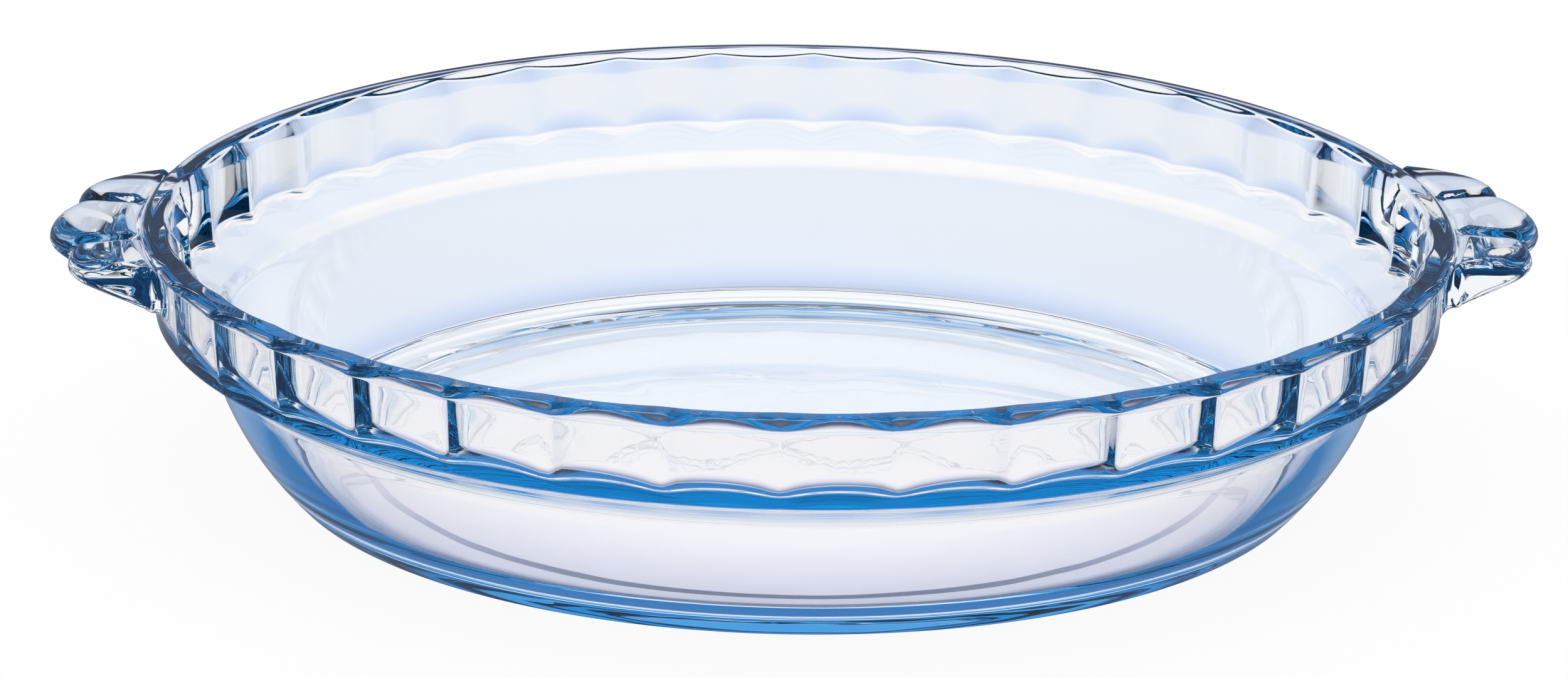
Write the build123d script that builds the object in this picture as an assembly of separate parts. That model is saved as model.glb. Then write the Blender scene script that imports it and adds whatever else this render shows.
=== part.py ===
from build123d import *
import math
import os

# Clear pressed borosilicate glass pie dish: a flat floor, a bowed lower wall, a ledge,
# a collar fluted on its inside, a rolled rim and two ribbed lug handles.
# Lengths are in millimetres and angles in degrees. The origin is the centre of the
# base on the table, +X runs through the handles and +Z is up.

# Overall
dish_height = 44.5
rim_outer_radius = 113.4
handle_projection = 15.9

# Rolled rim
rim_width = 5.0
rim_depth = 2.6
rim_outer_round = 1.25
rim_inner_round = 1.4
rim_overhang = 1.3

# Fluted collar under the rim
collar_height = 12.9
collar_draft = 0.8
collar_wall = 3.8
collar_corner_round = 0.9
flute_count = 36
flute_depth = 2.1

# Ledge: its top is inside the dish, and its undercut slopes in to the lower wall
ledge_thickness = 1.4
ledge_round = 5.0
shoulder_rise = 2.3
undercut_depth = 5.0
undercut_width = 8.6

# Lower wall and floor
wall_spread = 12.95
wall_bow = 1.9
wall_thickness = 4.2
floor_thickness = 4.0
floor_corner_radius = 9.0
foot_ring_width = 11.4
foot_recess_depth = 0.5
foot_edge_round = 0.8

# Lug handles
handle_drop = 0.4
handle_tip_thickness = 4.8
handle_root_thickness = 8.0
handle_edge_round = 2.1
handle_flare_round = 5.0
middle_lobe_radius = 22.0
side_lobe_radius = 12.6
side_lobe_offset = 17.5
side_lobe_setback = 4.5
lobe_notch_round = 1.2
rib_groove_radius = 1.6
rib_groove_depth = 1.1
rib_groove_spread = 10.8
rib_groove_splay = 14.0
rib_groove_root_gap = 2.5

# Worked out from the sizes above
rim_underside = dish_height - rim_depth
rim_inner_radius = rim_outer_radius - rim_width
collar_top_radius = rim_outer_radius - rim_overhang
collar_foot_radius = collar_top_radius - collar_draft
collar_foot_height = rim_underside - collar_height
ledge_top = collar_foot_height + ledge_thickness
flute_angle = 360 / flute_count
wall_top_radius = collar_foot_radius - undercut_width
wall_top_height = collar_foot_height - undercut_depth
foot_outer_radius = wall_top_radius - wall_spread
foot_inner_radius = foot_outer_radius - foot_ring_width
handle_reach = rim_outer_radius + handle_projection
handle_top = dish_height - handle_drop
middle_lobe_x = handle_reach - middle_lobe_radius
side_lobe_x = handle_reach - side_lobe_setback - side_lobe_radius


def circle_through(first, middle, last):
    # Centre and radius of the circle through three (radius, height) points.
    ax, az = first
    bx, bz = middle
    cx, cz = last
    twice_area = 2 * (ax * (bz - cz) + bx * (cz - az) + cx * (az - bz))
    a_square = ax ** 2 + az ** 2
    b_square = bx ** 2 + bz ** 2
    c_square = cx ** 2 + cz ** 2
    x = (a_square * (bz - cz) + b_square * (cz - az) + c_square * (az - bz)) / twice_area
    z = (a_square * (cx - bx) + b_square * (ax - cx) + c_square * (bx - ax)) / twice_area
    return x, z, math.hypot(ax - x, az - z)


def on_circle(circle, height):
    # Point at which a wall circle's outer side reaches a height.
    x, z, radius = circle
    return x + math.sqrt(radius ** 2 - (height - z) ** 2), height


foot_edge = (foot_outer_radius, 0)
wall_top = (wall_top_radius, wall_top_height)
wall_slope = math.atan2(wall_top_height, wall_spread)
wall_middle = (
    (foot_edge[0] + wall_top[0]) / 2 + wall_bow * math.sin(wall_slope),
    (foot_edge[1] + wall_top[1]) / 2 - wall_bow * math.cos(wall_slope),
)
outer_wall = circle_through(foot_edge, wall_middle, wall_top)
inner_wall = (outer_wall[0], outer_wall[1], outer_wall[2] - wall_thickness)
inner_top = on_circle(inner_wall, wall_top_height)
shoulder = on_circle(inner_wall, wall_top_height + shoulder_rise)

# The floor's corner is an arc that touches the floor and the inner wall.
corner_z = floor_thickness + floor_corner_radius
corner_reach = inner_wall[2] - floor_corner_radius
corner_x = inner_wall[0] + math.sqrt(corner_reach ** 2 - (corner_z - inner_wall[1]) ** 2)
corner_circle = (corner_x, corner_z, floor_corner_radius)
corner_direction = math.atan2(corner_z - inner_wall[1], corner_x - inner_wall[0])
corner_top = (
    inner_wall[0] + inner_wall[2] * math.cos(corner_direction),
    inner_wall[1] + inner_wall[2] * math.sin(corner_direction),
)
floor_radius = corner_x


def arc_between(circle, first, last):
    # Arc of a circle from one of its points to another.
    x, z, radius = circle
    start = math.atan2(first[1] - z, first[0] - x)
    end = math.atan2(last[1] - z, last[0] - x)
    middle = (start + end) / 2
    return ThreePointArc(first, (x + radius * math.cos(middle), z + radius * math.sin(middle)), last)


def turned(profile):
    # Solid of revolution of a profile drawn as (radius, height).
    return revolve(Plane.XZ * profile, Axis.Z)


def rounded(profile, corner, radius):
    # Profile with the corner nearest to a point rounded.
    nearest = profile.vertices().sort_by_distance((corner[0], corner[1], 0))[0]
    return fillet(nearest, radius)


def base():
    # Flat floor with a shallow recess inside its foot ring.
    disc = Pos(0, 0, floor_thickness / 2) * Cylinder(floor_radius, floor_thickness)
    recess = Pos(0, 0, foot_recess_depth / 2) * Cylinder(foot_inner_radius, foot_recess_depth)
    return disc - recess


def side_wall():
    # Bowed wall from the foot ring to the undercut, with the floor's inside corner.
    floor_edge = (floor_radius, floor_thickness)
    profile = make_face([
        Line((floor_radius, 0), foot_edge),
        ThreePointArc(foot_edge, wall_middle, wall_top),
        Line(wall_top, inner_top),
        arc_between(inner_wall, inner_top, corner_top),
        arc_between(corner_circle, corner_top, floor_edge),
        Line(floor_edge, (floor_radius, 0)),
    ])
    return turned(rounded(profile, foot_edge, foot_edge_round))


def scalloped_outline(middle_radius, height):
    # Closed ring of arcs, one to each flute, whose ends point towards the axis.
    ridge_radius = middle_radius - flute_depth
    arcs = []
    for flute in range(flute_count):
        start = math.radians((flute - 0.5) * flute_angle)
        middle = math.radians(flute * flute_angle)
        end = math.radians((flute + 0.5) * flute_angle)
        arcs.append(ThreePointArc(
            (ridge_radius * math.cos(start), ridge_radius * math.sin(start), height),
            (middle_radius * math.cos(middle), middle_radius * math.sin(middle), height),
            (ridge_radius * math.cos(end), ridge_radius * math.sin(end), height),
        ))
    return make_face(arcs)


def collar_radius(height):
    # Radius of the collar's outside at a height.
    return collar_foot_radius + collar_draft * (height - collar_foot_height) / collar_height


def fluted_collar():
    # Ledge over a sloping undercut, with a shoulder that falls into the bowl, and on the ledge
    # a collar, plain outside and fluted inside.
    ledge_outside = (collar_radius(ledge_top), ledge_top)
    ledge_inside = (collar_radius(ledge_top) - collar_wall - flute_depth, ledge_top)
    profile = make_face([
        Line(inner_top, wall_top),
        Line(wall_top, (collar_foot_radius, collar_foot_height)),
        Line((collar_foot_radius, collar_foot_height), ledge_outside),
        Line(ledge_outside, ledge_inside),
        Line(ledge_inside, shoulder),
        arc_between(inner_wall, shoulder, inner_top),
    ])
    profile = rounded(profile, (collar_foot_radius, collar_foot_height), collar_corner_round)
    profile = rounded(profile, ledge_inside, ledge_round)
    band = loft([
        Pos(0, 0, ledge_top) * Circle(collar_radius(ledge_top)),
        Pos(0, 0, rim_underside) * Circle(collar_top_radius),
    ])
    flutes = loft([
        scalloped_outline(collar_radius(ledge_top) - collar_wall, ledge_top),
        scalloped_outline(collar_top_radius - collar_wall, rim_underside),
    ], ruled=True)
    return turned(profile) + (band - flutes)


def rim_section(inner_radius):
    # Bead section from an inner radius out, rounded outside.
    width = rim_outer_radius - inner_radius
    centre = ((inner_radius + rim_outer_radius) / 2, dish_height - rim_depth / 2)
    section = Pos(*centre) * Rectangle(width, rim_depth)
    outer_corners = section.vertices().group_by(Axis.X)[-1]
    return fillet(outer_corners, rim_outer_round)


def rim():
    # Rolled bead round the mouth.
    section = rim_section(rim_inner_radius)
    return turned(rounded(section, (rim_inner_radius, dish_height), rim_inner_round))


def dish_envelope():
    # Collar and rim filled in to the axis, which shapes the handles' inner ends.
    collar = Polyline(
        (0, collar_foot_height),
        (collar_foot_radius, collar_foot_height),
        (collar_top_radius, rim_underside),
        (0, rim_underside),
        close=True,
    )
    rim_plug = Pos(0, 0, dish_height - rim_depth / 2) * Cylinder(rim_inner_radius, rim_depth)
    return turned(make_face(collar)) + rim_plug + turned(rim_section(rim_inner_radius))


def handle_outline():
    # Three rounded lobes whose flanks flare into the collar.
    outline = Circle(collar_foot_radius) + Pos(middle_lobe_x, 0) * Circle(middle_lobe_radius)
    for side in (-1, 1):
        outline += Pos(side_lobe_x, side * side_lobe_offset) * Circle(side_lobe_radius)
    corners = outline.vertices().filter_by(lambda v: v.X > side_lobe_x - side_lobe_radius)
    outline = fillet([v for v in corners if abs(v.Y) < side_lobe_offset], lobe_notch_round)
    corners = outline.vertices().filter_by(lambda v: abs(v.Y) > side_lobe_offset and v.X < side_lobe_x)
    return fillet(corners, handle_flare_round)


def rib_groove(side):
    # Round-bottomed groove along the handle's top, clear of the rim and open at the tip.
    start_x = rim_outer_radius + rib_groove_root_gap
    height = handle_top + rib_groove_radius - rib_groove_depth
    bar = Cylinder(rib_groove_radius, handle_reach, align=(Align.CENTER, Align.CENTER, Align.MIN))
    bar += Sphere(rib_groove_radius)
    bar = Rot(0, 90, side * rib_groove_splay) * bar
    return Pos(start_x, side * rib_groove_spread, height) * bar


def handle_side():
    # Side view of the handle: level on top, and thicker at its root than at its tip.
    start_x = side_lobe_x - side_lobe_radius
    slope = (handle_root_thickness - handle_tip_thickness) / handle_projection
    start_thickness = handle_root_thickness + slope * (rim_outer_radius - start_x)
    return make_face(Polyline(
        (start_x, handle_top),
        (handle_reach, handle_top),
        (handle_reach, handle_top - handle_tip_thickness),
        (start_x, handle_top - start_thickness),
        close=True,
    ))


def handle(envelope):
    # Lug with two grooves that part its three ribs.
    side_bar = extrude(Plane.XZ * handle_side(), rim_outer_radius, both=True)
    lug = side_bar & extrude(handle_outline(), dish_height)
    flat_faces = [lug.faces().sort_by(Axis.Z)[0], lug.faces().sort_by(Axis.Z)[-1]]
    long_edges = [edge for face in flat_faces for edge in face.edges().sort_by(Axis.X)[1:]]
    lug = fillet(long_edges, handle_edge_round)
    for side in (-1, 1):
        lug -= rib_groove(side)
    return lug - envelope


if __name__ == "__main__":
    os.makedirs("parts", exist_ok=True)
    right_handle = handle(dish_envelope())
    parts = {
        "base": base(),
        "side_wall": side_wall(),
        "fluted_collar": fluted_collar(),
        "rim": rim(),
        "right_handle": right_handle,
        "left_handle": Rot(0, 0, 180) * right_handle,
    }
    for name, solid in parts.items():
        print(name, solid.bounding_box(), round(solid.volume, 1), solid.is_valid)
        export_step(solid, "parts/" + name + ".step")
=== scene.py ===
import math

import bmesh
import bpy
from mathutils import Matrix, Vector


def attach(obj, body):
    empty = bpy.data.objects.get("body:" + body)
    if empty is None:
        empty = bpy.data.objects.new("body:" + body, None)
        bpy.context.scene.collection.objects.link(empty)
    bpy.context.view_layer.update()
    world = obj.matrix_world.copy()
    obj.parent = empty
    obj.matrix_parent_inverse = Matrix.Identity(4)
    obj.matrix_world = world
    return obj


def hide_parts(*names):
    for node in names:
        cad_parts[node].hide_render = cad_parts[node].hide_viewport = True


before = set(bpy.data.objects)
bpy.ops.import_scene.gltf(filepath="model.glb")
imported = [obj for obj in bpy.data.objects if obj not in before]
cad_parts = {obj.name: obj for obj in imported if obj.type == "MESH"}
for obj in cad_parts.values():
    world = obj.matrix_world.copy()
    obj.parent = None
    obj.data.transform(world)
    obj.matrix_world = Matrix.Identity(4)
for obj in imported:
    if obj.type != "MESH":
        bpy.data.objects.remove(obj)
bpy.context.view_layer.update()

MM = 0.001

# Section of the dish in millimetres: radius from the axis, height over the table.
DISH_HEIGHT = 44.5
FLOOR_TOP = 4.0
FLOOR_RINGS = (25.0, 55.0)
FOOT_RECESS = 0.5
RECESS_EDGE = 77.0
FOOT_RING_INNER = 78.4
RECESS_ROUND = 0.6
RECESS_ROUND_STEPS = 2
FOOT_EDGE_ROUND = 0.8
FOOT_EDGE_STEPS = 5
WALL_FOOT = (89.75, 0.0)
WALL_MIDDLE = (99.6, 14.6)
WALL_TOP = (103.6, 29.2)
WALL_THICKNESS = 4.2
WALL_STEPS = 9
FLOOR_CORNER_ROUND = 9.0
FLOOR_CORNER_STEPS = 7
UNDERCUT_FOOT = 23.5
UNDERCUT_ROUND = 3.0
UNDERCUT_STEPS = 6
COLLAR_FOOT = (111.3, 29.0)
COLLAR_FOOT_ROUND = 0.9
COLLAR_FOOT_STEPS = 6
COLLAR_TOP = (112.1, 41.4)
LUG_ROOT_HEIGHT = 32.2

# The rim's bead.
RIM_OUTER_RADIUS = 113.4
RIM_UNDERSIDE = 41.9
RIM_FOOT_ROUND = 0.3
RIM_FOOT_STEPS = 3
RIM_LOWER_ROUND = 1.15
RIM_LOWER_STEPS = 6
RIM_UPPER_ROUND = 1.4
RIM_UPPER_STEPS = 8
RIM_CREST = 111.6
RIM_INNER = 108.9
RIM_INNER_ROUND = 1.2
RIM_INNER_STEPS = 5

# The flutes: the section through the middle of a flute and through a ridge between two.
FLUTE_COUNT = 36
FLUTE_PITCH = 2 * math.pi / FLUTE_COUNT
FLUTE_STEPS = 14
HANDLE_FLUTE_STEPS = 32
HANDLE_FLUTES = 2
ANGLE_DIGITS = 6
MERGE_DISTANCE = 0.01
MID_FLUTE = dict(top=(108.5, 41.3), foot=(108.3, 32.0), foot_round=5.0, shoulder=(99.3, 26.3))
RIDGE = dict(top=(106.4, 41.3), foot=(105.7, 30.3), foot_round=3.4, shoulder=(99.3, 26.1))
FLUTE_FOOT_STEPS = 14
SHOULDER_ROUND = 5.0
SHOULDER_STEPS = 9
SHOULDER_DROP = 3.0
FLUTE_TOP_ROUND = 1.5
FLUTE_TOP_STEPS = 4
FLUTE_BEND_SHARE = 0.25

# A ridge's edge is sharp near the rim and blunt near the ledge, and turns from one to the other
# between two heights.
RIDGE_BLUNT_SHARES = (0.05, 0.18)
RIDGE_BLUNT_HEIGHTS = (31.0, 36.0)

# The handles.
HANDLE_REACH = 129.3
HANDLE_TOP = 44.1
UNDERSIDE_LEVEL = 39.6
UNDERSIDE_FALL = 4.3
UNDERSIDE_CREST = 128.0
NOSE_HEIGHT = 40.9
NOSE_UPPER = 4.0
NOSE_UPPER_SHARE = 0.32
NOSE_LOWER = 2.5
NOSE_LOWER_SHARE = 0.3
HANDLE_HALF_ANGLE = math.radians(20.0)
MIDDLE_LOBE_RADIUS = 22.0
SIDE_LOBE_RADIUS = 12.6
SIDE_LOBE_OFFSET = 17.5
SIDE_LOBE_REACH = 125.3
MIDDLE_LOBE_EDGE = 0.46
MIDDLE_LOBE_TRIM = 12.0
LOBE_BLEND = 0.5
FLARE_BLEND = 1.8
FAN_CENTRE = 97.0
HANDLE_BLEND_LENGTH = 3.0
UNDERSIDE_FILLET = 2.0
GROOVE_OFFSET = 10.5
GROOVE_SPLAY = math.tan(math.radians(14.0))
GROOVE_HALF_WIDTH = 1.7
GROOVE_DEPTH = 1.1
GROOVE_SHARPNESS = 1.5
GROOVE_END = 2.5
VALLEY_PAST = 0.5
VALLEY_DEPTH = 0.7
VALLEY_LENGTH = 1.8
BEAD_TOE = 0.1
BEAD_TOE_ROUND = 0.3
BEAD_TOE_STEPS = 2
UNDERSIDE_STEPS = 10
LOWER_NOSE_STEPS = 4
UPPER_NOSE_STEPS = 6
TOP_STEPS = 12
BEAD_STEPS = 7


def circle_through(first, middle, last):
    """Centre and radius of the circle through three points of the section."""
    (ax, az), (bx, bz), (cx, cz) = first, middle, last
    twice_area = 2 * (ax * (bz - cz) + bx * (cz - az) + cx * (az - bz))
    a_square = ax ** 2 + az ** 2
    b_square = bx ** 2 + bz ** 2
    c_square = cx ** 2 + cz ** 2
    x = (a_square * (bz - cz) + b_square * (cz - az) + c_square * (az - bz)) / twice_area
    z = (a_square * (cx - bx) + b_square * (ax - cx) + c_square * (bx - ax)) / twice_area
    return x, z, math.hypot(ax - x, az - z)


def on_circle(circle, height):
    """Point of a section circle's outer side at a height."""
    x, z, radius = circle
    return x + math.sqrt(radius ** 2 - (height - z) ** 2), height


def arc(circle, start, end, steps):
    """Points of a circle between two angles, both ends kept."""
    x, z, radius = circle
    turn = (end - start) / steps
    return [(x + radius * math.cos(start + turn * i), z + radius * math.sin(start + turn * i))
            for i in range(steps + 1)]


def arc_between(circle, first_height, last_height, steps):
    """Points of a section circle's outer side between two heights."""
    start = math.asin((first_height - circle[1]) / circle[2])
    end = math.asin((last_height - circle[1]) / circle[2])
    return arc(circle, start, end, steps)


def rounded(corners):
    """Open run through corners given as (radius, height, rounding, steps), with arcs at the roundings."""
    points = []
    for i, (x, z, rounding, steps) in enumerate(corners):
        here = Vector((x, z))
        if not rounding:
            points.append((x, z))
            continue
        back = (Vector(corners[i - 1][:2]) - here).normalized()
        on = (Vector(corners[i + 1][:2]) - here).normalized()
        half = back.angle(on) / 2
        reach = rounding / math.tan(half)
        centre = here + (back + on).normalized() * rounding / math.sin(half)
        start = here + back * reach - centre
        end = here + on * reach - centre
        begin = math.atan2(start.y, start.x)
        turn = math.atan2(start.cross(end), start.dot(end))
        points += arc((centre.x, centre.y, rounding), begin, begin + turn, steps)
    return points


def resampled(points, count):
    """The same run with a number of evenly spaced points, both ends kept."""
    lengths = [0.0]
    for a, b in zip(points, points[1:]):
        lengths.append(lengths[-1] + math.dist(a, b))
    out = []
    k = 0
    for i in range(count):
        want = lengths[-1] * i / (count - 1)
        while k < len(points) - 2 and lengths[k + 1] < want:
            k += 1
        share = (want - lengths[k]) / (lengths[k + 1] - lengths[k])
        out.append(tuple(a + (b - a) * share for a, b in zip(points[k], points[k + 1])))
    return out


OUTER_WALL = circle_through(WALL_FOOT, WALL_MIDDLE, WALL_TOP)
INNER_WALL = (OUTER_WALL[0], OUTER_WALL[1], OUTER_WALL[2] - WALL_THICKNESS)
COLLAR_SLOPE = (COLLAR_TOP[0] - COLLAR_FOOT[0]) / (COLLAR_TOP[1] - COLLAR_FOOT[1])
LUG_ROOT = (COLLAR_FOOT[0] + COLLAR_SLOPE * (LUG_ROOT_HEIGHT - COLLAR_FOOT[1]), LUG_ROOT_HEIGHT)


def outside_run():
    """Underside, foot, wall, undercut and the collar's outside up to the handles' roots."""
    wall = arc_between(OUTER_WALL, 2 * FOOT_EDGE_ROUND, UNDERCUT_FOOT - UNDERCUT_ROUND, WALL_STEPS)
    corners = [(radius, FOOT_RECESS, 0, 0) for radius in (0.0,) + FLOOR_RINGS]
    corners += [
        (RECESS_EDGE, FOOT_RECESS, RECESS_ROUND, RECESS_ROUND_STEPS),
        (FOOT_RING_INNER, 0.0, RECESS_ROUND, RECESS_ROUND_STEPS),
        (*WALL_FOOT, FOOT_EDGE_ROUND, FOOT_EDGE_STEPS),
    ]
    corners += [(*point, 0, 0) for point in wall]
    corners += [
        (*on_circle(OUTER_WALL, UNDERCUT_FOOT), UNDERCUT_ROUND, UNDERCUT_STEPS),
        (*COLLAR_FOOT, COLLAR_FOOT_ROUND, COLLAR_FOOT_STEPS),
        (*LUG_ROOT, 0, 0),
    ]
    return rounded(corners)[:-1]


def lip_run():
    """Collar's upper outside and the bead, as the handle's points lie where there is no handle."""
    underside = resampled([LUG_ROOT, COLLAR_TOP], UNDERSIDE_STEPS + 1)
    bead = rounded([
        (*COLLAR_TOP, 0, 0),
        (COLLAR_TOP[0], RIM_UNDERSIDE, RIM_FOOT_ROUND, RIM_FOOT_STEPS),
        (RIM_OUTER_RADIUS, RIM_UNDERSIDE, RIM_LOWER_ROUND, RIM_LOWER_STEPS),
        (RIM_OUTER_RADIUS, DISH_HEIGHT, RIM_UPPER_ROUND, RIM_UPPER_STEPS),
        (RIM_CREST, DISH_HEIGHT, 0, 0),
    ])
    return underside[:-1] + resampled(bead, LOWER_NOSE_STEPS + UPPER_NOSE_STEPS + TOP_STEPS + BEAD_STEPS + 1)


def inside_run(top, foot, foot_round, shoulder):
    """Rim top, fluted collar, shoulder, inner wall, floor corner and floor."""
    corner_z = FLOOR_TOP + FLOOR_CORNER_ROUND
    reach = INNER_WALL[2] - FLOOR_CORNER_ROUND
    corner_x = INNER_WALL[0] + math.sqrt(reach ** 2 - (corner_z - INNER_WALL[1]) ** 2)
    touch = math.atan2(corner_z - INNER_WALL[1], corner_x - INNER_WALL[0])
    corner = arc((corner_x, corner_z, FLOOR_CORNER_ROUND), touch, -math.pi / 2, FLOOR_CORNER_STEPS)
    wall = arc_between(INNER_WALL, shoulder[1] - SHOULDER_DROP, corner[0][1], WALL_STEPS)
    bend = [a + (b - a) * FLUTE_BEND_SHARE for a, b in zip(top, foot)]
    fluted = rounded([
        (RIM_CREST, DISH_HEIGHT, 0, 0),
        (RIM_INNER, DISH_HEIGHT, RIM_INNER_ROUND, RIM_INNER_STEPS),
        (*top, FLUTE_TOP_ROUND, FLUTE_TOP_STEPS),
        (*bend, 0, 0),
        (*foot, foot_round, FLUTE_FOOT_STEPS),
        (*shoulder, SHOULDER_ROUND, SHOULDER_STEPS),
        (*wall[0], 0, 0),
    ])
    floor = [(radius, FLOOR_TOP) for radius in reversed(FLOOR_RINGS)] + [(0.0, FLOOR_TOP)]
    return fluted[1:-1] + wall + corner[1:] + floor


OUTSIDE = outside_run()
LIP = lip_run()
SECTION_MID = OUTSIDE + LIP + inside_run(**MID_FLUTE)
SECTION_RIDGE = OUTSIDE + LIP + inside_run(**RIDGE)
LIP_FIRST = len(OUTSIDE)


def smooth(share):
    """Smooth step from 0 to 1."""
    share = min(max(share, 0.0), 1.0)
    return share * share * (3 - 2 * share)


def exit_distance(angle, x, y, radius):
    """How far along a ray from the fan's centre a circle's far side lies, or 0 where the ray misses."""
    along = x * math.cos(angle) + y * math.sin(angle)
    aside = x * math.sin(angle) - y * math.cos(angle)
    inside = radius ** 2 - aside ** 2
    return along + math.sqrt(inside) if inside > 0 else 0.0


def blended_most(values, blend):
    """Largest value, with the change from one to another rounded."""
    top = max(values)
    return top + blend * math.log(sum(math.exp((v - top) / blend) for v in values))


def lug_length(angle):
    """How far the handle's outline stands out past the rim along a ray of the fan."""
    middle_x = HANDLE_REACH - MIDDLE_LOBE_RADIUS - FAN_CENTRE
    side_x = SIDE_LOBE_REACH - SIDE_LOBE_RADIUS - FAN_CENTRE
    trim = MIDDLE_LOBE_TRIM * max(0.0, abs(angle) - MIDDLE_LOBE_EDGE)
    lobes = blended_most([
        exit_distance(angle, middle_x, 0, MIDDLE_LOBE_RADIUS) - trim,
        exit_distance(angle, side_x, SIDE_LOBE_OFFSET, SIDE_LOBE_RADIUS),
        exit_distance(angle, side_x, -SIDE_LOBE_OFFSET, SIDE_LOBE_RADIUS),
    ], LOBE_BLEND)
    rim = exit_distance(angle, -FAN_CENTRE, 0, RIM_OUTER_RADIUS)
    return blended_most([lobes, rim], FLARE_BLEND) - rim


def groove(x, y):
    """Depth of the two grooves between a handle's ribs at a place."""
    line = GROOVE_OFFSET + (x - RIM_OUTER_RADIUS) * GROOVE_SPLAY
    off = (abs(y) - line) / GROOVE_HALF_WIDTH
    return GROOVE_DEPTH * math.exp(-GROOVE_SHARPNESS * off ** 2)


def handle_section(column_angle):
    """A column's section as (distance past the rim, height), its direction, and how much it is handle."""
    rim_x = RIM_OUTER_RADIUS * math.cos(column_angle)
    rim_y = RIM_OUTER_RADIUS * math.sin(column_angle)
    fan = math.atan2(rim_y, rim_x - FAN_CENTRE)
    direction = (math.cos(fan), math.sin(fan))
    length = lug_length(fan)
    upper = min(NOSE_UPPER, NOSE_UPPER_SHARE * length)
    lower = min(NOSE_LOWER, NOSE_LOWER_SHARE * length)
    root = LUG_ROOT[0] - RIM_OUTER_RADIUS

    def underside(past):
        from_axis = math.hypot(rim_x + direction[0] * past, rim_y + direction[1] * past)
        share = (UNDERSIDE_CREST - from_axis) / (UNDERSIDE_CREST - RIM_OUTER_RADIUS)
        off = max(0.0, UNDERSIDE_FILLET - (past - root))
        fillet = UNDERSIDE_FILLET - math.sqrt(UNDERSIDE_FILLET ** 2 - off ** 2)
        return UNDERSIDE_LEVEL - UNDERSIDE_FALL * share ** 2 - fillet

    def top(past):
        depth = groove(rim_x + direction[0] * past, rim_y + direction[1] * past)
        out = smooth((past - VALLEY_PAST) / VALLEY_LENGTH)
        return HANDLE_TOP - depth * out * smooth((length - past) / GROOVE_END) - VALLEY_DEPTH * (1 - out)

    points = []
    for i in range(UNDERSIDE_STEPS):
        past = root + (length - lower - root) * i / UNDERSIDE_STEPS
        points.append((past, underside(past)))
    for i in range(LOWER_NOSE_STEPS):
        turn = math.pi / 2 * i / LOWER_NOSE_STEPS
        drop = (NOSE_HEIGHT - underside(length - lower)) * math.cos(turn)
        points.append((length - lower + lower * math.sin(turn), NOSE_HEIGHT - drop))
    for i in range(UPPER_NOSE_STEPS):
        turn = math.pi / 2 * i / UPPER_NOSE_STEPS
        past = length - upper + upper * math.cos(turn)
        points.append((past, NOSE_HEIGHT + (top(past) - NOSE_HEIGHT) * math.sin(turn)))
    for i in range(TOP_STEPS):
        past = length - upper + (VALLEY_PAST - length + upper) * i / TOP_STEPS
        points.append((past, top(past)))
    bead = rounded([
        (VALLEY_PAST, top(VALLEY_PAST), 0, 0),
        (BEAD_TOE, top(VALLEY_PAST) - BEAD_TOE, BEAD_TOE_ROUND, BEAD_TOE_STEPS),
        (0.0, DISH_HEIGHT, RIM_UPPER_ROUND, RIM_UPPER_STEPS),
        (RIM_CREST - RIM_OUTER_RADIUS, DISH_HEIGHT, 0, 0),
    ])
    points += resampled(bead, BEAD_STEPS + 1)
    return points, direction, smooth(length / HANDLE_BLEND_LENGTH)


def flute_share(angle, blunt):
    """0 in the middle of a flute and 1 on the ridge between two, whose edge is blunted."""
    off = abs((angle / FLUTE_PITCH + 0.5) % 1.0 - 0.5) * 2
    from_ridge = (math.hypot(1 - off, blunt) - blunt) / (math.hypot(1, blunt) - blunt)
    return (1 - from_ridge) ** 2


def shaped(bm, place):
    """Moves every vertex of the spun section to its own place."""
    sharp, blunt = RIDGE_BLUNT_SHARES
    blunt_below, sharp_above = RIDGE_BLUNT_HEIGHTS
    sections = {}
    for v in bm.verts:
        index = v[place]
        mid = SECTION_MID[index]
        ridge = SECTION_RIDGE[index]
        if mid[0] == 0.0:
            continue
        angle = math.atan2(v.co.y, v.co.x)
        low = smooth((sharp_above - mid[1]) / (sharp_above - blunt_below))
        share = flute_share(angle, sharp + (blunt - sharp) * low)
        radius = mid[0] + (ridge[0] - mid[0]) * share
        height = mid[1] + (ridge[1] - mid[1]) * share
        x = radius * math.cos(angle)
        y = radius * math.sin(angle)
        side = math.copysign(1, math.cos(angle))
        local = math.atan2(y * side, x * side)
        if LIP_FIRST <= index < LIP_FIRST + len(LIP) and abs(local) < HANDLE_HALF_ANGLE:
            key = round(local, ANGLE_DIGITS)
            if key not in sections:
                sections[key] = handle_section(local)
            points, direction, weight = sections[key]
            past, lug_height = points[index - LIP_FIRST]
            rim = Vector((math.cos(local), math.sin(local)))
            along = Vector(direction) if past > 0 else rim
            lug = (rim * RIM_OUTER_RADIUS + along * past) * side
            x += (lug.x - x) * weight
            y += (lug.y - y) * weight
            height += (lug_height - height) * weight
        v.co = Vector((x, y, height)) * MM


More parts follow.
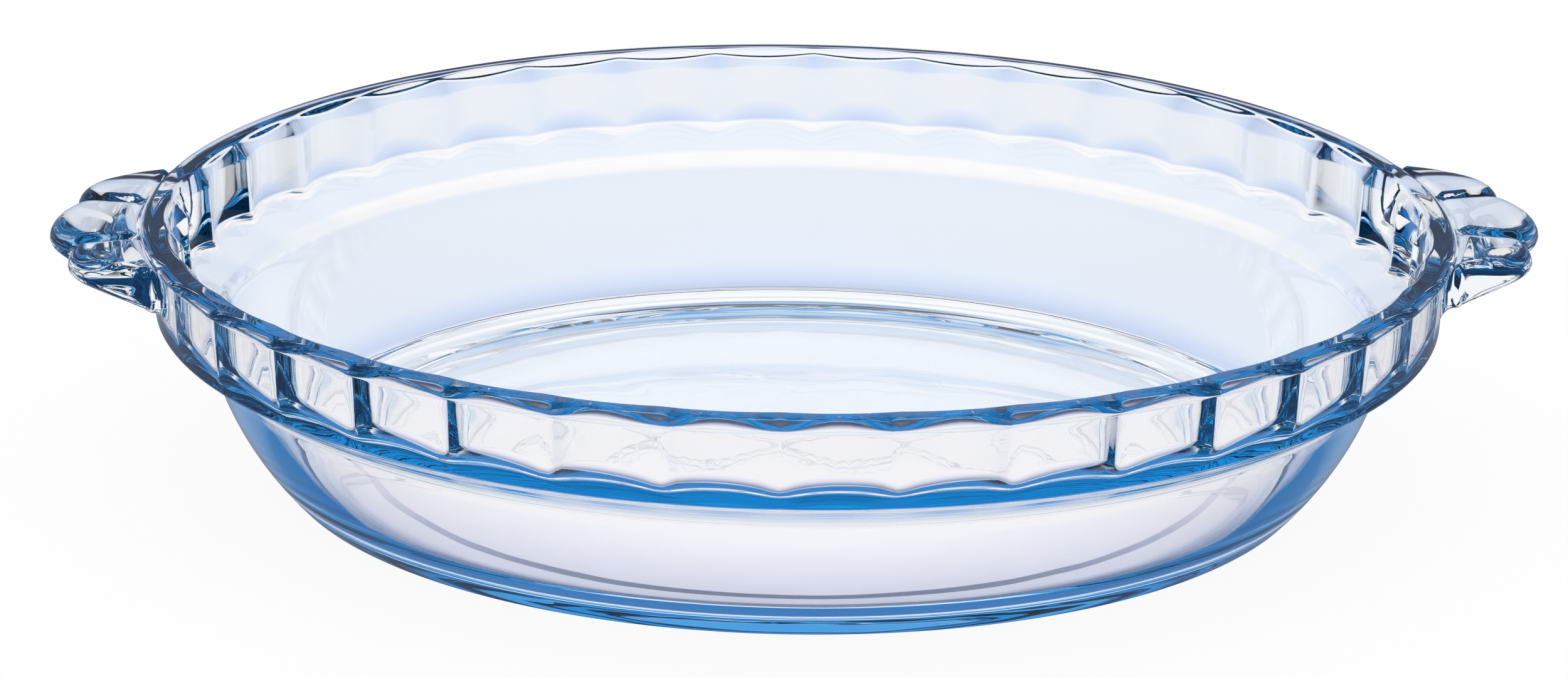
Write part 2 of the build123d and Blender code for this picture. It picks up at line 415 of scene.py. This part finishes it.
def sector(steps):
    """One flute's width of the dish, spun. Each vertex keeps its place along the section."""
    bm = bmesh.new()
    place = bm.verts.layers.int.new("place")
    row = []
    for i, (radius, height) in enumerate(SECTION_MID):
        v = bm.verts.new((radius * MM, 0, height * MM))
        v[place] = i
        row.append(v)
    edges = [bm.edges.new(pair) for pair in zip(row, row[1:])]
    bmesh.ops.rotate(bm, verts=row, cent=(0, 0, 0), matrix=Matrix.Rotation(-FLUTE_PITCH / 2, 3, "Z"))
    bmesh.ops.spin(
        bm, geom=row + edges, cent=(0, 0, 0), axis=(0, 0, 1),
        angle=FLUTE_PITCH, steps=steps, use_merge=False, use_duplicate=False,
    )
    mesh = bpy.data.meshes.new("sector")
    bm.to_mesh(mesh)
    bm.free()
    return mesh


def dish():
    """The whole dish: sectors set round the axis, then fluted and drawn out into the handles."""
    plain = sector(FLUTE_STEPS)
    fine = sector(HANDLE_FLUTE_STEPS)
    half_count = FLUTE_COUNT // 2
    bm = bmesh.new()
    for flute in range(FLUTE_COUNT):
        from_handle = min(flute % half_count, half_count - flute % half_count)
        first = len(bm.verts)
        bm.from_mesh(fine if from_handle <= HANDLE_FLUTES else plain)
        bm.verts.ensure_lookup_table()
        turn = Matrix.Rotation(FLUTE_PITCH * flute, 3, "Z")
        bmesh.ops.rotate(bm, verts=bm.verts[first:], cent=(0, 0, 0), matrix=turn)
    bmesh.ops.remove_doubles(bm, verts=bm.verts, dist=MERGE_DISTANCE * MM)
    shaped(bm, bm.verts.layers.int["place"])
    bmesh.ops.recalc_face_normals(bm, faces=bm.faces)
    if bm.calc_volume(signed=True) < 0:
        bmesh.ops.reverse_faces(bm, faces=bm.faces)
    mesh = bpy.data.meshes.new("dish_glass")
    bm.to_mesh(mesh)
    bm.free()
    bpy.data.meshes.remove(plain)
    bpy.data.meshes.remove(fine)
    for face in mesh.polygons:
        face.use_smooth = True
    made = bpy.data.objects.new("dish_glass", mesh)
    bpy.context.scene.collection.objects.link(made)
    return made


# The table top: its width, and how much of its white takes no shadow.
FLOOR_SIZE = 4000.0
LIT_TABLE_SHARE = 0.88

# The photograph's camera, fitted to the rim, ledge and base. Its frame is 2500 by 1081 pixels.
IMAGE_WIDTH = 2500
SENSOR_WIDTH = 36.0
FOCAL_PIXELS = 9781.5
CAMERA_DISTANCE = 1078.1
CAMERA_ELEVATION = math.radians(18.90)
CAMERA_AZIMUTH = math.radians(-3.7)
CAMERA_PAN = -0.002107
CAMERA_TILT = 0.018915
CAMERA_ROLL = 0.015595


def camera():
    """Camera in front of the dish, which stands turned a little, its left handle nearer."""
    place = Vector((0, -math.cos(CAMERA_ELEVATION), math.sin(CAMERA_ELEVATION))) * CAMERA_DISTANCE * MM
    forward = -place.normalized()
    right = Vector((1, 0, 0))
    up = right.cross(forward)
    forward = (forward + right * CAMERA_PAN + up * CAMERA_TILT).normalized()
    right = forward.cross(up).normalized()
    up = right.cross(forward)
    rolled_right = right * math.cos(CAMERA_ROLL) + up * math.sin(CAMERA_ROLL)
    rolled_up = up * math.cos(CAMERA_ROLL) - right * math.sin(CAMERA_ROLL)
    facing = Matrix((rolled_right, rolled_up, -forward)).transposed()
    turn = Matrix.Rotation(CAMERA_AZIMUTH, 3, "Z")
    data = bpy.data.cameras.new("photo_camera")
    data.sensor_width = SENSOR_WIDTH
    data.lens = FOCAL_PIXELS / IMAGE_WIDTH * SENSOR_WIDTH
    rig = bpy.data.objects.new("photo_camera", data)
    rig.matrix_world = Matrix.Translation(turn @ place) @ (turn @ facing).to_4x4()
    bpy.context.scene.collection.objects.link(rig)
    bpy.context.scene.camera = rig


def linear(value):
    """An sRGB hex colour as linear RGBA."""
    channels = [int(value[i:i + 2], 16) / 255 for i in (1, 3, 5)]
    return [c / 12.92 if c <= 0.04045 else ((c + 0.055) / 1.055) ** 2.4 for c in channels] + [1.0]


def add_node(tree, kind, settings=(), links=()):
    """Adds a shader node with its settings, and links {input: socket} into it."""
    node = tree.nodes.new(kind)
    for name, value in dict(settings).items():
        if isinstance(name, int) or name in node.inputs:
            node.inputs[name].default_value = value
        else:
            setattr(node, name, value)
    for name, socket in dict(links).items():
        tree.links.new(socket, node.inputs[name])
    return node


WHITE = (1.0, 1.0, 1.0, 1.0)
GLASS_IOR = 1.473
GLASS_TINT = "#CFE9F8"
TINT_DENSITY = 2.0
RIPPLES_PER_METRE = 60.0
RIPPLE_HEIGHT = 0.05


def borosilicate_glass():
    """Pressed, fire-polished borosilicate glass."""
    # Polishing leaves it clear and mirror-smooth, and it is faintly blue only where it is thick.
    # Pressing leaves ripples about 17 mm long, too low to see but enough to bend what shows through.
    material = bpy.data.materials.new("borosilicate_glass")
    material.use_nodes = True
    tree = material.node_tree
    tree.nodes.clear()
    place = add_node(tree, "ShaderNodeTexCoord")
    waves = add_node(tree, "ShaderNodeTexNoise", {"Scale": RIPPLES_PER_METRE, "Detail": 1.0}, {
        "Vector": place.outputs["Object"]})
    ripple = add_node(tree, "ShaderNodeBump", {"Distance": RIPPLE_HEIGHT * MM}, {
        "Height": waves.outputs["Fac"]})
    surface = add_node(tree, "ShaderNodeBsdfPrincipled", {
        "Base Color": WHITE, "Roughness": 0.0, "IOR": GLASS_IOR, "Transmission Weight": 1.0}, {
        "Normal": ripple.outputs["Normal"]})
    volume = add_node(tree, "ShaderNodeVolumeAbsorption", {
        "Color": linear(GLASS_TINT), "Density": TINT_DENSITY})
    add_node(tree, "ShaderNodeOutputMaterial", {}, {
        "Surface": surface.outputs["BSDF"], "Volume": volume.outputs["Volume"]})
    return material


# What the studio looks like by elevation in degrees: for light that crosses one wall, for light
# that crosses more, for light turned once or often inside the glass, for light thrown back at the
# dark front of the room, and for light led along the glass.
STRAIGHT_VIEW = ((-90, "#F8FAFF"), (-74, "#F0F4FC"), (-67, "#C0C8DC"), (-63, "#283048"), (-58, "#10142A"),
                 (-48, "#16182C"), (-42, "#6C6E86"), (-37, "#C8D6F2"), (-31, "#D6E4FE"), (-20, "#E8F1FF"),
                 (-10, "#FFFFFF"))
CROSSED_VIEW = ((-90, "#1C5C96"), (-75, "#14527E"), (-60, "#1A3454"), (-50, "#1C2844"), (-42, "#4A5474"),
                (-36, "#A0A4C0"), (-28, "#E0E0F0"), (-22, "#FCFAFF"), (-10, "#FFFFFF"))
TURNED_VIEW = ((-90, "#1C74BC"), (-70, "#1074C0"), (-55, "#1C74BC"), (-45, "#1470B4"), (-36, "#106CB0"),
               (-29, "#2478B8"), (-22, "#B0D0F0"), (-14, "#FFFFFF"))
OFTEN_TURNED_VIEW = ((-90, "#0870B8"), (-50, "#0668B0"), (-30, "#0A74BC"), (-22, "#3890D0"),
                     (-12, "#B4D6F4"), (-4, "#FFFFFF"))
FRONT_VIEW = ((-90, "#0A84D0"), (-70, "#0482CC"), (-56, "#047AC0"), (-46, "#042C58"), (-28, "#030A1E"),
              (18, "#030818"), (35, "#08203C"), (52, "#2C84C8"), (72, "#E4EEFA"))
SIDE_NAVY = "#020A18"
GUIDED_VIEW = ((-90, "#0890E0"), (31, "#0CA0E8"), (42, "#F0F6FF"))
GUIDED_BLUE = "#0694E4"
REFLECTED_GREY = "#848CA0"

# Where one look gives way to the next: how far a level direction points to the back, how far a
# direction points to a side, and how many walls light has crossed or turns it has made.
FRONT_BEARING = (0.75, 0.2)
SIDE_REACH = (0.45, 0.8)
MORE_WALLS = (2.0, 3.0)
FIRST_TURN = (0.0, 1.0)
SECOND_TURN = (1.0, 2.0)
OFTEN_TURNS = (1.0, 3.0)
GUIDED_TURNS = (3.0, 4.6)
LONG_GUIDED_TURNS = (7.0, 10.0)
GLASS_BOUNCES = 64


def ramp(tree, factor, stops):
    """Colours by elevation in degrees, read by a direction's height from 0 (down) to 1 (up)."""
    node = add_node(tree, "ShaderNodeValToRGB", {}, {"Fac": factor})
    elements = node.color_ramp.elements
    while len(elements) < len(stops):
        elements.new(0.5)
    for element, (elevation, colour) in zip(elements, stops):
        element.position = (math.sin(math.radians(elevation)) + 1) / 2
        element.color = linear(colour)
    return node.outputs["Color"]


def mixed(tree, factor, first, second):
    """Mix of two colours, each a socket or an sRGB hex colour, by a factor socket."""
    settings = {"data_type": "RGBA"}
    links = {"Factor": factor}
    for place, colour in ((6, first), (7, second)):
        if isinstance(colour, str):
            settings[place] = linear(colour)
        else:
            links[place] = colour
    return add_node(tree, "ShaderNodeMix", settings, links).outputs[2]


def between(tree, value, low, high):
    """0 where a value socket is at its low mark and 1 at its high mark."""
    settings = {"From Min": low, "From Max": high}
    return add_node(tree, "ShaderNodeMapRange", settings, {"Value": value}).outputs["Result"]


def studio():
    """The studio round the dish: pale at eye level and overhead, blue under its glass table."""
    world = bpy.data.worlds.new("studio")
    bpy.context.scene.world = world
    world.use_nodes = True
    tree = world.node_tree
    tree.nodes.clear()
    place = add_node(tree, "ShaderNodeTexCoord")
    direction = place.outputs["Generated"]
    axes = add_node(tree, "ShaderNodeSeparateXYZ", {}, {"Vector": direction})
    height = between(tree, axes.outputs["Z"], -1.0, 1.0)
    level = add_node(tree, "ShaderNodeVectorMath", {"operation": "MULTIPLY", 1: (1, 1, 0)}, {0: direction})
    bearing = add_node(tree, "ShaderNodeVectorMath", {"operation": "NORMALIZE"}, {
        0: level.outputs["Vector"]})
    towards = add_node(tree, "ShaderNodeSeparateXYZ", {}, {"Vector": bearing.outputs["Vector"]})
    forward = between(tree, towards.outputs["Y"], *FRONT_BEARING)
    spread = add_node(tree, "ShaderNodeMath", {"operation": "ABSOLUTE"}, {0: axes.outputs["X"]})
    sideways = between(tree, spread.outputs["Value"], *SIDE_REACH)
    path = add_node(tree, "ShaderNodeLightPath")
    walls = path.outputs["Transmission Depth"]
    turns = path.outputs["Glossy Depth"]

    more_walls = between(tree, walls, *MORE_WALLS)
    straight = mixed(tree, more_walls, ramp(tree, height, STRAIGHT_VIEW), ramp(tree, height, CROSSED_VIEW))
    often = between(tree, turns, *OFTEN_TURNS)
    turned = mixed(tree, often, ramp(tree, height, TURNED_VIEW), ramp(tree, height, OFTEN_TURNED_VIEW))
    thrown = mixed(tree, forward, turned, ramp(tree, height, FRONT_VIEW))
    to_side = add_node(tree, "ShaderNodeMath", {"operation": "MULTIPLY"}, {
        0: sideways, 1: between(tree, turns, *SECOND_TURN)})
    thrown = mixed(tree, to_side.outputs["Value"], thrown, SIDE_NAVY)
    inside = mixed(tree, between(tree, turns, *FIRST_TURN), straight, thrown)

    long_guided = between(tree, turns, *LONG_GUIDED_TURNS)
    glow = mixed(tree, long_guided, ramp(tree, height, GUIDED_VIEW), GUIDED_BLUE)
    glow = mixed(tree, forward, glow, SIDE_NAVY)
    glow = mixed(tree, sideways, glow, SIDE_NAVY)
    guided = mixed(tree, between(tree, turns, *GUIDED_TURNS), inside, glow)

    # Reflections off the outside: at least one turn, and no wall crossed.
    outside = add_node(tree, "ShaderNodeMath", {"operation": "MULTIPLY_ADD", 1: -GLASS_BOUNCES}, {
        0: walls, 2: turns})
    reflected = between(tree, outside.outputs["Value"], *FIRST_TURN)
    by_glass = mixed(tree, reflected, guided, REFLECTED_GREY)
    seen = mixed(tree, path.outputs["Is Camera Ray"], by_glass, "#FFFFFF")
    light = add_node(tree, "ShaderNodeBackground", {"Strength": 1.0}, {"Color": seen})
    add_node(tree, "ShaderNodeOutputWorld", {}, {"Surface": light.outputs["Background"]})
    cycles = bpy.context.scene.cycles
    cycles.max_bounces = GLASS_BOUNCES
    cycles.glossy_bounces = GLASS_BOUNCES
    cycles.transmission_bounces = GLASS_BOUNCES


def floor():
    """White table top. Only the camera sees it; light in the glass passes it, as through glass."""
    # Painted smooth and matt. Most of its white is lit evenly, and the rest keeps a faint shadow.
    bm = bmesh.new()
    bmesh.ops.create_grid(bm, x_segments=1, y_segments=1, size=FLOOR_SIZE * MM / 2)
    mesh = bpy.data.meshes.new("floor")
    bm.to_mesh(mesh)
    bm.free()
    made = bpy.data.objects.new("floor", mesh)
    bpy.context.scene.collection.objects.link(made)
    material = bpy.data.materials.new("white_table_top")
    material.use_nodes = True
    tree = material.node_tree
    tree.nodes.clear()
    path = add_node(tree, "ShaderNodeLightPath")
    clear = add_node(tree, "ShaderNodeBsdfTransparent")
    white = add_node(tree, "ShaderNodeBsdfDiffuse", {"Color": WHITE})
    bright = add_node(tree, "ShaderNodeEmission", {"Color": WHITE, "Strength": 1.0})
    lit = add_node(tree, "ShaderNodeMixShader", {0: LIT_TABLE_SHARE}, {
        1: white.outputs["BSDF"], 2: bright.outputs["Emission"]})
    top = add_node(tree, "ShaderNodeMixShader", {}, {
        0: path.outputs["Is Camera Ray"], 1: clear.outputs["BSDF"], 2: lit.outputs["Shader"]})
    add_node(tree, "ShaderNodeOutputMaterial", {}, {"Surface": top.outputs["Shader"]})
    mesh.materials.append(material)


glass = dish()
glass.data.materials.append(borosilicate_glass())
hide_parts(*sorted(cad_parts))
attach(glass, "root")
floor()
camera()
studio()
bpy.context.scene.view_settings.view_transform = "Standard"
